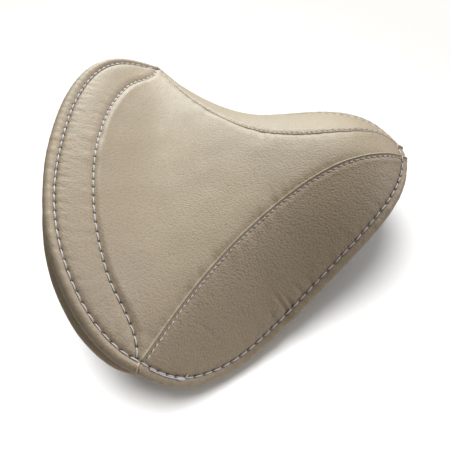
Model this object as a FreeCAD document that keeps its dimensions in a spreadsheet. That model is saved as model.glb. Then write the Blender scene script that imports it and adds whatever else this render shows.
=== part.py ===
"""Saddle stool seat cushion: shell, foam, stitched cover, threaded inserts, staples and dust cover.

Row frame in millimetres: +X towards the nose, +Y towards the sitter's left, +Z up.
The origin is the centre of the mounting face, where the four bosses end.
"""
import FreeCAD, Part
import math
import os
from FreeCAD import Vector

os.makedirs("parts", exist_ok=True)
doc = FreeCAD.newDocument("saddle_seat")
UP = Vector(0, 0, 1)

# Half of the border stitch line in plan, from the rear centre to the nose.
HALF_BORDER = [(-155.8, 0), (-147.3, 85.8), (-105.5, 167.7), (-56.3, 186.4), (-22.9, 176.9),
               (7.6, 159.2), (69.5, 110.1), (124.9, 61.3), (154.6, 0)]
# Height of the seat along its centre line, as (x, z).
CENTRE_LINE = [(-165, 105.2), (-140, 100.9), (-110, 83.6), (-80, 68.1), (-50, 64.5), (-20, 68.1),
               (10, 75.2), (40, 86.4), (70, 100.9), (100, 113.8), (125, 118.2), (145, 114.1), (165, 100.5)]
# The left seam in plan, as (x, y), from the rear corner to the nose.
SEAM_LINE = [(-78.3, 183.3), (-50, 139), (-20, 100), (10, 68.9), (40, 45.3), (70, 29), (100, 19.8),
             (125, 16.2), (140, 13.4), (153.9, 8.3)]
# Half of the rear stitch line in plan, from the border near the corner to the centre.
HALF_CRESCENT = [(-81.4, 182.5), (-82.8, 170), (-87.5, 157), (-94.2, 144.3), (-103.1, 129.2),
                 (-110.4, 111.5), (-116, 93), (-121, 72), (-125.2, 44), (-127.4, 16), (-127.8, 0)]

SIZES = {
    "crown_drop": 6.3, "crown_reach": 180, "fold_slope": 0.362, "fold_curve": 0.00207,
    "fold_curve_change": 0.0000039, "fold_round": 15, "cover_thickness": 1.5, "layer_gap": 0.15,
    "comfort_thickness": 7, "edge_depth": 14, "centre_extra_depth": 24, "shell_thickness": 4.5,
    "roll_radius": 5, "roll_out": 4.6, "roll_drop": 2.6, "wall_lean": 6,
    "leather_thickness": 1.3, "cord_radius": 3.0, "margin_reach": 22, "join_blend": 22,
    "stitch_pitch": 8.8, "stitch_length": 7.2, "stitch_radius": 0.65,
    "seam_stitch_pitch": 5.3, "seam_stitch_length": 4.1, "seam_stitch_radius": 0.4,
    "seam_stitch_offset": 2.1,
    "bolt_spacing": 120, "boss_radius": 13, "rib_thickness": 4, "rib_recess": 3,
    "insert_radius": 5.2, "insert_length": 13, "insert_bore_radius": 3.4, "insert_flange_radius": 7.5,
    "insert_flange_thickness": 1.2, "bolt_end_radius": 4.3, "bolt_end_depth": 18,
    "staple_crown": 10, "staple_wire": 0.7, "staple_spacing": 19, "dust_staple_spacing": 26,
    "dust_cover_thickness": 0.8, "dust_cover_inset": 17, "tail_length": 6,
    "tail_radius": 0.5, "knot_radius": 1.5,
}

sheet = doc.addObject("Spreadsheet::Sheet", "sizes")
for row, (alias, number) in enumerate(SIZES.items(), start=1):
    sheet.set("A%d" % row, alias)
    sheet.set("B%d" % row, str(number))
    sheet.setAlias("B%d" % row, alias)
doc.recompute()


def size(alias):
    return float(getattr(sheet, alias))


def natural_spline(points):
    """A smooth function through (x, value) points, straight beyond its ends."""
    xs = [p[0] for p in points]
    ys = [p[1] for p in points]
    n = len(xs)
    gaps = [xs[i + 1] - xs[i] for i in range(n - 1)]
    slopes = [(ys[i + 1] - ys[i]) / gaps[i] for i in range(n - 1)]
    bends, factors = [0.0] * n, [0.0] * n
    for i in range(1, n - 1):
        pivot = 2 * (gaps[i - 1] + gaps[i]) - gaps[i - 1] * factors[i - 1]
        factors[i] = gaps[i] / pivot
        bends[i] = (6 * (slopes[i] - slopes[i - 1]) - gaps[i - 1] * bends[i - 1]) / pivot
    for i in range(n - 2, 0, -1):
        bends[i] -= factors[i] * bends[i + 1]

    def value(x):
        inside = min(max(x, xs[0]), xs[-1])
        i = max(k for k in range(n - 1) if xs[k] <= inside or k == 0)
        h, a, b = gaps[i], inside - xs[i], xs[i + 1] - inside
        curve = (bends[i] * b ** 3 + bends[i + 1] * a ** 3) / (6 * h)
        line = (ys[i] / h - bends[i] * h / 6) * b + (ys[i + 1] / h - bends[i + 1] * h / 6) * a
        end = 0 if x < xs[0] else n - 2
        tilt = slopes[end] - gaps[end] * (bends[end + 1] + 2 * bends[end]) / 6
        if x > xs[-1]:
            tilt = slopes[end] + gaps[end] * (bends[end] + 2 * bends[end + 1]) / 6
        return curve + line + tilt * (x - inside)

    return value


centre_height = natural_spline(CENTRE_LINE)
seam_half_width = natural_spline(SEAM_LINE)


def top_height(x, y):
    """The centre panel's surface, carried on smoothly past the seams."""
    return centre_height(x) - size("crown_drop") * (abs(y) / size("crown_reach")) ** 4


def fold_drop(x, beyond):
    """How far the side panel lies under the centre panel's surface, at a distance beyond the seam."""
    curve = size("fold_curve") - size("fold_curve_change") * x
    return size("fold_slope") * beyond + curve * beyond * abs(beyond)


def side_height(x, y):
    return top_height(x, y) - fold_drop(x, abs(y) - seam_half_width(x))


def soft_height(x, y):
    """The seat's surface with the seam's crease rounded off, which every inner layer follows."""
    beyond = abs(y) - seam_half_width(x)
    rounded = 0.5 * (beyond + math.hypot(beyond, size("fold_round")))
    return top_height(x, y) - fold_drop(x, rounded)


def shell_height(x, y):
    """The shell's upper face: deep under the middle of the seat and shallow at its edge."""
    r_squared = (y / 175) ** 2 + ((x + 10) / 155) ** 2
    depth = size("edge_depth") + size("centre_extra_depth") * math.exp(-3 * r_squared ** 2)
    return soft_height(x, y) - depth


def grid_face(height, drop, x_range=(-176, 176), y_range=(-206, 206), steps=(34, 40)):
    """A smooth face through height(x, y) - drop over a rectangle of the plan."""
    rows = []
    for i in range(steps[0]):
        x = x_range[0] + (x_range[1] - x_range[0]) * i / (steps[0] - 1)
        row = []
        for j in range(steps[1]):
            y = y_range[0] + (y_range[1] - y_range[0]) * j / (steps[1] - 1)
            row.append(Vector(x, y, height(x, y) - drop))
        rows.append(row)
    surface = Part.BSplineSurface()
    surface.interpolate(rows)
    return surface.toShape()


def half_curve(points):
    """A smooth curve through half of a symmetric outline, with its parameters at the two centre points."""
    across = [Vector(p.x, -p.y, p.z) for p in points]
    run = across[2:0:-1] + points + across[-2:-4:-1]
    times = [0.0]
    for a, b in zip(run, run[1:]):
        times.append(times[-1] + math.sqrt(a.distanceToPoint(b)))
    curve = Part.BSplineCurve()
    curve.interpolate(Points=run, Parameters=times)
    return curve, times[2], times[-3]


def half_line(points):
    """A smooth curve from a corner to the centre line, carried on past it so that it crosses squarely."""
    run = points + [Vector(p.x, -p.y, 0) for p in points[-2:-4:-1]]
    times = [0.0]
    for a, b in zip(run, run[1:]):
        times.append(times[-1] + a.distanceToPoint(b))
    curve = Part.BSplineCurve()
    curve.interpolate(Points=run, Parameters=times)
    return curve, times[0], times[len(points) - 1]


def plan(points):
    return [Vector(x, y, 0) for x, y in points]


def mirrored(shape):
    return shape.mirror(Vector(0, 0, 0), Vector(0, 1, 0))


border, FIRST, LAST = half_curve(plan(HALF_BORDER))
CORNER = border.parameter(Vector(-78.3, 183.4, 0))
NOSE_END = border.parameter(Vector(153.9, 8.3, 0))


def outward(u):
    """The border's outward direction in plan."""
    return border.tangent(u)[0].cross(UP).normalize() * -1.0


def fall_at(u, height):
    """The angle at which the surface height(x, y) falls outwards at the border."""
    p = border.value(u)
    inner = p - outward(u) * 8
    return math.atan2(height(inner.x, inner.y) - height(p.x, p.y), 8)


def rim_frame(u, height):
    """The border point on the surface height(x, y), the outward direction and the surface's fall there.

    Near a seam's end the centre panel takes on the side panel's fall, so that their strips meet there.
    """
    p = border.value(u)
    fall = fall_at(u, height)
    if height is top_height:
        for join in (CORNER, NOSE_END):
            away = min(p.distanceToPoint(border.value(join)) / size("join_blend"), 1)
            own_share = away ** 2 * (3 - 2 * away)
            fall = fall_at(join, side_height) * (1 - own_share) + fall * own_share
    return Vector(p.x, p.y, height(p.x, p.y)), outward(u), fall


def rim_point(frame, along, below):
    """A point near the rim: along the fall of the surface outside the border, and below it."""
    p, n, a = frame
    out = along * math.cos(a) - below * math.sin(a)
    down = along * math.sin(a) + below * math.cos(a)
    return p + n * out - UP * down


def wall_foot(a):
    """Distance outside the border, in plan, where the cover's wall meets the underside."""
    depth = (size("edge_depth") + size("shell_thickness") + 2) * math.cos(a)
    upright = (size("roll_out") + size("roll_radius") - 1) * math.cos(a) - depth * math.sin(a)
    return upright - size("wall_lean")


def under_point(frame, offset, drop):
    """A point under the shell, at a distance outside the border in plan."""
    p = frame[0] + frame[1] * offset
    return Vector(p.x, p.y, shell_height(p.x, p.y) - size("shell_thickness") - drop)


def rim_lines(u, height, side):
    """The cover's cross-section at the rim: over the roll, down the wall and in under the shell."""
    frame = rim_frame(u, height)
    thin, gap = size("leather_thickness"), size("layer_gap")
    foot = wall_foot(frame[2])
    lines = []
    for depth in (0, thin):
        radius = size("roll_radius") - depth
        line = [rim_point(frame, -2.2, 0.3 + 0.45 * depth)]
        for angle in (150, 114, 78, 42, 6, -24):
            t = math.radians(angle)
            line.append(rim_point(frame, size("roll_out") + radius * math.cos(t),
                                  size("roll_drop") - radius * math.sin(t)))
        wall_end = under_point(frame, foot - 0.7 * depth, gap + thin - depth)
        line += [line[-1] + (wall_end - line[-1]) * share for share in (0.4, 0.8)]
        line += [under_point(frame, foot - 0.4 * depth - reach, gap + thin - depth)
                 for reach in (2.5, 8, 15, size("margin_reach"))]
        lines.append([Vector(p.x, side * p.y, p.z) for p in line])
    return lines


def strip(sections):
    """A closed solid through cross-sections that each have an outer and an inner line."""
    wires = []
    for outer, inner in sections:
        edges = []
        for line in (outer, inner):
            curve = Part.BSplineCurve()
            curve.interpolate(Points=line, Parameters=[float(k) for k in range(len(line))])
            edges.append(curve.toShape())
        ends = [Part.makeLine(outer[k], inner[k]) for k in (0, -1)]
        wires.append(Part.Wire([edges[0], ends[1], edges[1], ends[0]]))
    return Part.makeLoft(wires, True, False)


def spread(start, end, count):
    return [start + (end - start) * i / (count - 1) for i in range(count)]


def side_strip(side):
    """A side panel's part of the rim, from the rear corner to the nose."""
    return strip([rim_lines(u, side_height, side) for u in spread(CORNER, NOSE_END, 41)])


def end_strip(near, centre, sections):
    """The centre panel's part of the rim at one end, from one side to the other."""
    half = spread(near, centre, sections)
    right = [rim_lines(u, top_height, -1) for u in half[:-1]]
    left = [rim_lines(u, top_height, 1) for u in half[::-1]]
    return strip(right + left)


def offset_column(offset, low=-60, high=180):
    """The solid column over the border moved outwards by offset(u)."""
    points = [border.value(u) + outward(u) * offset(u) for u in spread(FIRST, LAST, 40)]
    points[0].y = points[-1].y = 0
    curve, first, last = half_curve(points)
    edge = curve.toShape(first, last)
    return column([edge, mirrored(edge)], low, high)


def column(edges, low=-60, high=180):
    """The solid column over a closed outline in plan."""
    face = Part.Face(Part.Wire(Part.__sortEdges__(edges)))
    face.translate(Vector(0, 0, low))
    solid = face.extrude(UP * (high - low))
    return solid if solid.Volume > 0 else solid.reversed()


def layer(height, drop, thickness, outline):
    """A sheet of even upright thickness under height(x, y) - drop, trimmed to an outline column."""
    return grid_face(height, drop).extrude(UP * -thickness).common(outline)


def frame_at(u):
    """The rim's frame on the cover as a whole."""
    return rim_frame(u, side_height if CORNER < u < NOSE_END else top_height)


def foot_at(u):
    return wall_foot(frame_at(u)[2])


def add_feature(name, shape):
    feature = doc.addObject("Part::Feature", name)
    feature.Shape = shape
    feature.Label = name
    feature.Placement = FreeCAD.Placement()
    return feature


# Cover: one centre panel and two side panels, each with its own part of the rim.
seam_points = [border.value(CORNER)] + plan(SEAM_LINE[1:-1]) + [border.value(NOSE_END)]
seam_curve = Part.BSplineCurve()
seam_curve.interpolate(seam_points)
seam_edge = seam_curve.toShape()
side_edge = border.toShape(CORNER, NOSE_END)
half_outline = [border.toShape(FIRST, CORNER), seam_edge, border.toShape(NOSE_END, LAST)]
top_column = column(half_outline + [mirrored(edge) for edge in half_outline])

top_skin = layer(top_height, 0, size("cover_thickness"), top_column)
rear_strip = end_strip(CORNER, FIRST, 17)
nose_strip = end_strip(NOSE_END, LAST, 4)
top_panel = top_skin.fuse([rear_strip, nose_strip]).Solids[0]

side_sheet = grid_face(side_height, 0, (-110, 176), (-12, 206), (34, 34))
side_skin = side_sheet.extrude(UP * -size("cover_thickness")).common(column([seam_edge, side_edge]))
left_panel = side_skin.fuse(side_strip(1)).Solids[0]

# Padding and shell, nested under the cover.
comfort_drop = size("cover_thickness") + size("layer_gap")
foam_drop = comfort_drop + size("comfort_thickness") + size("layer_gap")
comfort = layer(soft_height, comfort_drop, size("comfort_thickness"), offset_column(lambda u: -2.5))
foam_outline = offset_column(lambda u: min(foot_at(u) - 2.5, 6))
foam_above = grid_face(shell_height, -size("layer_gap")).extrude(UP * 200)
foam = layer(soft_height, foam_drop, 120, foam_outline).common(foam_above)
shell_skin = layer(shell_height, 0, size("shell_thickness"), offset_column(lambda u: foot_at(u) - 3.5))

# The edge cord comes in two lengths, which meet at the rear and at the nose.
cord_frames = [frame_at(u) for u in spread(FIRST, LAST, 25)]
cord_centres = [rim_point(frame, size("roll_out"), size("roll_drop")) for frame in cord_frames]
cord_path, cord_first, cord_last = half_curve(cord_centres)
cord_rings = []
for u in spread(cord_first, cord_last, 41):
    centre, along = cord_path.value(u), cord_path.tangent(u)[0]
    if u in (cord_first, cord_last):
        centre = Vector(centre.x, size("layer_gap"), centre.z)
        along = Vector(0, math.copysign(1, along.y), 0)
    cord_rings.append(Part.Wire([Part.Circle(centre, along, size("cord_radius")).toShape()]))
half_cord = Part.makeLoft(cord_rings, True, False)
edge_cord = Part.makeCompound([half_cord, mirrored(half_cord)])

# Bosses and ribs reach from the shell down to the mounting face.
half_spacing = size("bolt_spacing") / 2
bolt_places = [("front_left", 1, 1), ("front_right", 1, -1), ("rear_left", -1, 1), ("rear_right", -1, -1)]
supports = []
for name, along, across in bolt_places:
    foot = Vector(along * half_spacing, across * half_spacing, 0)
    supports.append(Part.makeCylinder(size("boss_radius"), 120, foot))
for sign in (-1, 1):
    rib = size("rib_thickness")
    recess = Vector(0, 0, size("rib_recess"))
    start = Vector(-half_spacing, sign * half_spacing - rib / 2, 0) + recess
    supports.append(Part.makeBox(2 * half_spacing, rib, 120, start))
    start = Vector(sign * half_spacing - rib / 2, -half_spacing, 0) + recess
    supports.append(Part.makeBox(rib, 2 * half_spacing, 120, start))
under_shell = grid_face(shell_height, size("shell_thickness") / 2).extrude(UP * -200)
supports = [support.common(under_shell) for support in supports]
holes = []
for name, along, across in bolt_places:
    foot = Vector(along * half_spacing, across * half_spacing, 0)
    for radius, depth, room in (("insert_flange_radius", "insert_flange_thickness", 0.1),
                                ("insert_radius", "insert_length", 0.1),
                                ("bolt_end_radius", "bolt_end_depth", 0)):
        holes.append(Part.makeCylinder(size(radius) + room, size(depth) + room, foot))
seat_shell = shell_skin.fuse(supports).cut(Part.makeCompound(holes)).Solids[0]

# Dust cover with a square opening round the bosses. It lies on the cover's turned-in margin.
margin_drop = size("shell_thickness") + size("layer_gap") + size("leather_thickness")
dust_drop = margin_drop + 2 * size("layer_gap")
dust_outline = offset_column(lambda u: foot_at(u) - size("dust_cover_inset"))
dust_cover = layer(shell_height, dust_drop, size("dust_cover_thickness"), dust_outline)
opening = half_spacing + size("boss_radius") + 6
hole = Part.makeBox(2 * opening, 2 * opening, 200, Vector(-opening, -opening, -50))
hole = hole.makeFillet(20, [edge for edge in hole.Edges if edge.Length > 190])
dust_cover = dust_cover.cut(hole)


def rod(a, b, radius):
    """A round thread or wire piece from a to b."""
    return Part.makeCylinder(radius, a.distanceToPoint(b), a, b - a)


def along_line(points, pitch, length, radius, first):
    """Rods laid end to end along a line of points, one for each pitch, with gaps between them."""
    walked = [0.0]
    for a, b in zip(points, points[1:]):
        walked.append(walked[-1] + a.distanceToPoint(b))

    def at(distance):
        k = max(i for i in range(len(points) - 1) if walked[i] <= distance or i == 0)
        share = (distance - walked[k]) / (walked[k + 1] - walked[k])
        return points[k] + (points[k + 1] - points[k]) * share

    count = int((walked[-1] - 2 * first) // pitch)
    start = (walked[-1] - count * pitch) / 2
    rods = []
    for i in range(count):
        middle = start + (i + 0.5) * pitch
        rods.append(rod(at(middle - length / 2), at(middle + length / 2), radius))
    return rods


def both_sides(shapes):
    return shapes + [mirrored(shape) for shape in shapes]


# Threads, which lie on the cover.
lift = size("stitch_radius") + 0.12
border_line = [rim_point(frame_at(u), 0, -lift) for u in spread(FIRST, LAST, 400)]
stitching = [size("stitch_pitch"), size("stitch_length"), size("stitch_radius")]
border_threads = both_sides(along_line(border_line, *stitching, 0.5))

crescent, crescent_start, crescent_end = half_line(plan(HALF_CRESCENT))
rear_line = []
for u in spread(crescent_start, crescent_end, 120):
    p = crescent.value(u)
    rear_line.append(Vector(p.x, p.y, top_height(p.x, p.y) + lift))
rear_threads = both_sides(along_line(rear_line, *stitching, 2))

seam_lift = size("seam_stitch_radius") + 0.15
seam_line = []
for u in spread(seam_curve.FirstParameter, seam_curve.LastParameter, 200):
    p = seam_curve.value(u)
    away = UP.cross(seam_curve.tangent(u)[0]).normalize() * size("seam_stitch_offset")
    p = p + away
    seam_line.append(Vector(p.x, p.y, side_height(p.x, p.y) + seam_lift))
seam_stitching = [size("seam_stitch_pitch"), size("seam_stitch_length"), size("seam_stitch_radius")]
seam_threads = along_line(seam_line, *seam_stitching, 5)

# The knot lies on the right-hand side, a little ahead of the rear corner.
knot_u = border.parameter(Vector(-47.5, 184.5, 0))
knot = rim_point(rim_frame(knot_u, side_height), -1.6, -1.9)
tail_end = rim_point(rim_frame(knot_u + 0.6, side_height), -4.0, -1.0)
tail = rod(knot, knot + (tail_end - knot).normalize() * size("tail_length"), size("tail_radius"))
thread_tail = mirrored(Part.makeSphere(size("knot_radius"), knot).fuse(tail))


def under_staples(inset, drop, spacing):
    """Staple crowns under the shell, at a distance in from the wall's foot."""
    line = []
    for u in spread(FIRST, LAST, 400):
        frame = frame_at(u)
        line.append(under_point(frame, wall_foot(frame[2]) - inset, drop))
    wire = size("staple_wire") / 2
    return both_sides(along_line(line, spacing, size("staple_crown"), wire, 2))


margin_bottom = size("layer_gap") + size("leather_thickness")
wire_room = size("staple_wire") / 2 + 0.3
cover_staples = under_staples(11, margin_bottom + wire_room, size("staple_spacing"))
dust_bottom = dust_drop + size("dust_cover_thickness") - size("shell_thickness")
dust_staples = under_staples(20.5, dust_bottom + wire_room, size("dust_staple_spacing"))

NODES = {
    "seat_shell": seat_shell, "foam_core": foam, "comfort_layer": comfort, "edge_cord": edge_cord,
    "top_panel": top_panel, "side_panel_left": left_panel, "side_panel_right": mirrored(left_panel),
    "border_stitching": Part.makeCompound(border_threads),
    "rear_stitching": Part.makeCompound(rear_threads),
    "seam_stitching_left": Part.makeCompound(seam_threads),
    "seam_stitching_right": Part.makeCompound([mirrored(thread) for thread in seam_threads]),
    "thread_tail": thread_tail, "cover_staples": Part.makeCompound(cover_staples),
    "dust_cover": dust_cover, "dust_cover_staples": Part.makeCompound(dust_staples),
}
features = [add_feature(name, shape) for name, shape in NODES.items()]

# Threaded inserts, one in each boss, as bound primitives.
for name, along, across in bolt_places:
    parts = []
    for label, radius, height in (("barrel", "insert_radius", "insert_length"),
                                  ("flange", "insert_flange_radius", "insert_flange_thickness"),
                                  ("bore", "insert_bore_radius", "insert_length")):
        cylinder = doc.addObject("Part::Cylinder", "%s_%s" % (label, name))
        cylinder.setExpression("Radius", "sizes." + radius)
        cylinder.setExpression("Height", "sizes." + height)
        parts.append(cylinder)
    outside = doc.addObject("Part::Fuse", "outside_" + name)
    outside.Base, outside.Tool = parts[0], parts[1]
    insert = doc.addObject("Part::Cut", "insert_" + name)
    insert.Base, insert.Tool = outside, parts[2]
    insert.Label = "insert_" + name
    insert.setExpression("Placement.Base.x", "%d * sizes.bolt_spacing / 2" % along)
    insert.setExpression("Placement.Base.y", "%d * sizes.bolt_spacing / 2" % across)
    features.append(insert)

doc.recompute()
for item in doc.Objects:
    if "Invalid" in item.State or "Error" in item.State:
        raise RuntimeError("%s is %s" % (item.Name, item.State))
for feature in features:
    shape = feature.Shape
    if shape.isNull() or not shape.isValid() or shape.Volume <= 0:
        raise RuntimeError("bad shape: " + feature.Label)
for feature in features:
    feature.Shape.exportStep("parts/%s.step" % feature.Label)
    box = feature.Shape.BoundBox
    print(feature.Label, len(feature.Shape.Solids), round(feature.Shape.Volume),
          round(box.ZMin, 1), round(box.ZMax, 1))
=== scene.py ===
"""Saddle stool seat cushion: the visual model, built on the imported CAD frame.

Design sizes are in millimetres, in the row frame; meshes are written in metres.
"""
import math

import bmesh
import bpy
import numpy as np
from mathutils import Matrix, Vector


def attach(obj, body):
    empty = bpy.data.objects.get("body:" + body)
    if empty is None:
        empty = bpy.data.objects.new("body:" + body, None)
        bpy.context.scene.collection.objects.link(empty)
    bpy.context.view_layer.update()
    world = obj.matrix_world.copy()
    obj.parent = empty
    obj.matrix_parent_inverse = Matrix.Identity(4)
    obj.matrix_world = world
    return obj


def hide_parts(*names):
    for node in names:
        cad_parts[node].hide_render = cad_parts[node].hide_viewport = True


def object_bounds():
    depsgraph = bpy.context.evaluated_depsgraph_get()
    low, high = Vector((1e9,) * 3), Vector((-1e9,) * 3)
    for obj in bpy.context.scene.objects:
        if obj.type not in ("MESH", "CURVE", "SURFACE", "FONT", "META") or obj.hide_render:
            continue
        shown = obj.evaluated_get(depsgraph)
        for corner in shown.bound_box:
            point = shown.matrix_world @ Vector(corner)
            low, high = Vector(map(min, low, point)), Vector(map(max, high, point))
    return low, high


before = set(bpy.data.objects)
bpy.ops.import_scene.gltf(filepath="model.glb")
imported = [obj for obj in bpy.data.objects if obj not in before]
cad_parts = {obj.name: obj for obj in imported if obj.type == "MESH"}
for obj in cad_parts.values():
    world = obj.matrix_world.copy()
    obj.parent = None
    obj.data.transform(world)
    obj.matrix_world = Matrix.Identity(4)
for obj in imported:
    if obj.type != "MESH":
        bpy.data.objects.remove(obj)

CAD_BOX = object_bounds()
MM = 0.001

# The cover's design lines, as in the CAD source. Another program made the numbers down to FOLD_CURVE_CHANGE,
# by fitting the surface and carrying points onto it: they still need redrawing from points chosen by hand.
HALF_BORDER = [(-155.8, 0), (-147.3, 85.8), (-105.5, 167.7), (-56.3, 186.4), (-22.9, 176.9),
               (7.6, 159.2), (69.5, 110.1), (124.9, 61.3), (154.6, 0)]
CENTRE_LINE = [(-165, 105.2), (-140, 100.9), (-110, 83.6), (-80, 68.1), (-50, 64.5), (-20, 68.1), (10, 75.2),
               (40, 86.4), (70, 100.9), (100, 113.8), (125, 118.2), (145, 114.1), (165, 100.5)]
SEAM_LINE = [(-78.3, 183.3), (-50, 139), (-20, 100), (10, 68.9), (40, 45.3), (70, 29), (100, 19.8),
             (125, 16.2), (140, 13.4), (153.9, 8.3)]
HALF_CRESCENT = [(-81.4, 182.5), (-82.8, 170), (-87.5, 157), (-94.2, 144.3), (-103.1, 129.2), (-110.4, 111.5),
                 (-116, 93), (-121, 72), (-125.2, 44), (-127.4, 16), (-127.8, 0)]
CORNER_XY = (-78.3, 183.4)
NOSE_XY = (153.9, 8.3)
CROWN_DROP, CROWN_REACH = 6.3, 180
FOLD_SLOPE, FOLD_CURVE, FOLD_CURVE_CHANGE, FOLD_ROUND = 0.362, 0.00207, 0.0000039, 15
EDGE_DEPTH, CENTRE_EXTRA_DEPTH, SHELL_THICKNESS = 14, 24, 4.5
ROLL_RADIUS, ROLL_OUT, ROLL_DROP, FOOT_OUT, WALL_LEAN = 4.0, 4.4, 2.6, 8.6, 6
MARGIN_REACH, JOIN_BLEND, DUST_INSET, DUST_STAPLE_SPACING = 22, 22, 17, 26
STITCH_PITCH, SEAM_STITCH_PITCH, FLANGE = 8.78, 5.3, 2.1
BORDER_SAMPLES = 16001
# Width of the fine mesh columns along the centre panel's seams.
EDGE_BAND = 3.0
PROFILE_SAMPLES, TUCK_CONTROL = 72, 8

# The simulated cloth: the mesh is made this much larger, and no point swells further than the cap.
SIM_SCALE = 10.0
SIM_FRAMES = 20
PUFF_CAP = 3.6
# Folds at the border as (start, end, depth, width). Another program placed their ends.
PUCKERS = [((42.4, -132.5), (26.5, -117), 1.5, 1.7), ((47, -128.5), (35, -117.5), 1.2, 1.5),
           ((55.5, -121), (43, -109.5), 0.9, 2.0), ((63, -114.5), (50, -104), 0.5, 2.2),
           ((33, -140), (24, -131), 0.7, 1.8), ((-32, -149.7), (-10.5, -162.6), 0.35, 2.2)]
BESIDE_FOLD = (2.2, 1.8)
PINCH_AT = 38
# The value of a stitch line's distance where that line isn't near.
FAR = 99.0
FACTS = ("border_gap", "border_at", "seam_gap", "seam_at", "rear_gap", "rear_at", "tuck_gap")


# ---------------------------------------------------------------- curves and surfaces

def natural_spline(points):
    """A smooth function through (x, value) points, straight beyond its ends."""
    xs, ys = np.array(points, float).T
    gaps, slopes = np.diff(xs), np.diff(ys) / np.diff(xs)
    matrix, right = np.eye(len(xs)), np.zeros(len(xs))
    for i in range(1, len(xs) - 1):
        matrix[i, i - 1:i + 2] = gaps[i - 1], 2 * (gaps[i - 1] + gaps[i]), gaps[i]
        right[i] = 6 * (slopes[i] - slopes[i - 1])
    bends = np.linalg.solve(matrix, right)
    start_tilt = slopes[0] - gaps[0] * (bends[1] + 2 * bends[0]) / 6
    end_tilt = slopes[-1] + gaps[-1] * (bends[-2] + 2 * bends[-1]) / 6

    def value(x):
        x = np.asarray(x, float)
        inside = np.clip(x, xs[0], xs[-1])
        i = np.clip(np.searchsorted(xs, inside, "right") - 1, 0, len(xs) - 2)
        h, a, b = gaps[i], inside - xs[i], xs[i + 1] - inside
        curve = (bends[i] * b ** 3 + bends[i + 1] * a ** 3) / (6 * h)
        line = (ys[i] / h - bends[i] * h / 6) * b + (ys[i + 1] / h - bends[i + 1] * h / 6) * a
        tilt = np.where(x < xs[0], start_tilt, end_tilt)
        return curve + line + tilt * (x - inside)

    return value


def spline_through(points, samples, closed=False):
    """Dense samples of a smooth curve through plan points; its speed follows each chord's square root."""
    p = np.array(points, float)
    if closed:
        p = np.vstack([p[-4:], p, p[:5]])
    times = np.r_[0, np.cumsum(np.sqrt(np.linalg.norm(np.diff(p, axis=0), axis=1)))]
    x, y = [natural_spline(np.c_[times, p[:, k]]) for k in (0, 1)]
    first, last = (times[4], times[-5]) if closed else (times[0], times[-1])
    t = np.linspace(first, last, samples)
    return np.c_[x(t), y(t)]


def by_length(line, count=None, step=None):
    """The line's points moved to even steps of length."""
    walked = np.r_[0, np.cumsum(np.linalg.norm(np.diff(line, axis=0), axis=1))]
    count = count or int(round(walked[-1] / step)) + 1
    even = np.linspace(0, walked[-1], count)
    return np.stack([np.interp(even, walked, line[:, k]) for k in range(line.shape[1])], axis=1)


centre_height = natural_spline(CENTRE_LINE)
seam_half_width = natural_spline(SEAM_LINE)


def top_height(x, y):
    return centre_height(x) - CROWN_DROP * (np.abs(y) / CROWN_REACH) ** 4


def fold_drop(x, beyond):
    curve = FOLD_CURVE - FOLD_CURVE_CHANGE * x
    return FOLD_SLOPE * beyond + curve * beyond * np.abs(beyond)


def side_height(x, y):
    return top_height(x, y) - fold_drop(x, np.abs(y) - seam_half_width(x))


def cover_height(x, y):
    return top_height(x, y) - fold_drop(x, np.maximum(np.abs(y) - seam_half_width(x), 0))


def soft_height(x, y):
    """The seat's surface with the seam's crease rounded off, which every inner layer follows."""
    beyond = np.abs(y) - seam_half_width(x)
    return top_height(x, y) - fold_drop(x, 0.5 * (beyond + np.hypot(beyond, FOLD_ROUND)))


def shell_height(x, y):
    r_squared = (y / 175) ** 2 + ((x + 10) / 155) ** 2
    return soft_height(x, y) - EDGE_DEPTH - CENTRE_EXTRA_DEPTH * np.exp(-3 * r_squared ** 2)


def lifted(plan, height):
    return np.c_[plan, height(plan[:, 0], plan[:, 1])]


def mirror(points):
    return points * np.array([1, -1, 1][:points.shape[-1]])


# The border from the rear centre round the left side to the rear centre again.
half = np.array(HALF_BORDER, float)
loop = spline_through(np.vstack([half, mirror(half[1:-1])[::-1]]), BORDER_SAMPLES, closed=True)
left_loop = loop[:BORDER_SAMPLES // 2 + 1]
corner_at = int(np.argmin(np.linalg.norm(left_loop - CORNER_XY, axis=1)))
nose_at = int(np.argmin(np.linalg.norm(left_loop - NOSE_XY, axis=1)))
rear_half = left_loop[:corner_at + 1]
side_line = left_loop[corner_at:nose_at + 1]
nose_half = left_loop[nose_at:]
rear_line = np.vstack([mirror(rear_half)[::-1], rear_half[1:]])
seam_inner = np.array(SEAM_LINE[1:-1], float)
seam_line = spline_through(np.vstack([left_loop[corner_at], seam_inner, left_loop[nose_at]]), 2000)
crescent_half = np.array(HALF_CRESCENT, float)
crescent_line = spline_through(np.vstack([crescent_half, mirror(crescent_half[:-1])[::-1]]), 3000)


def arc_length(line):
    return np.r_[0, np.cumsum(np.linalg.norm(np.diff(line, axis=0), axis=1))]


border_line = lifted(loop[:-1], cover_height)
border_arc = arc_length(np.vstack([border_line, border_line[:1]]))
BORDER_LENGTH = border_arc[-1]
border_arc = border_arc[:-1]
STITCHES = int(round(BORDER_LENGTH / STITCH_PITCH))
PITCH = BORDER_LENGTH / STITCHES
CORNER_ARC = border_arc[corner_at]


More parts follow.
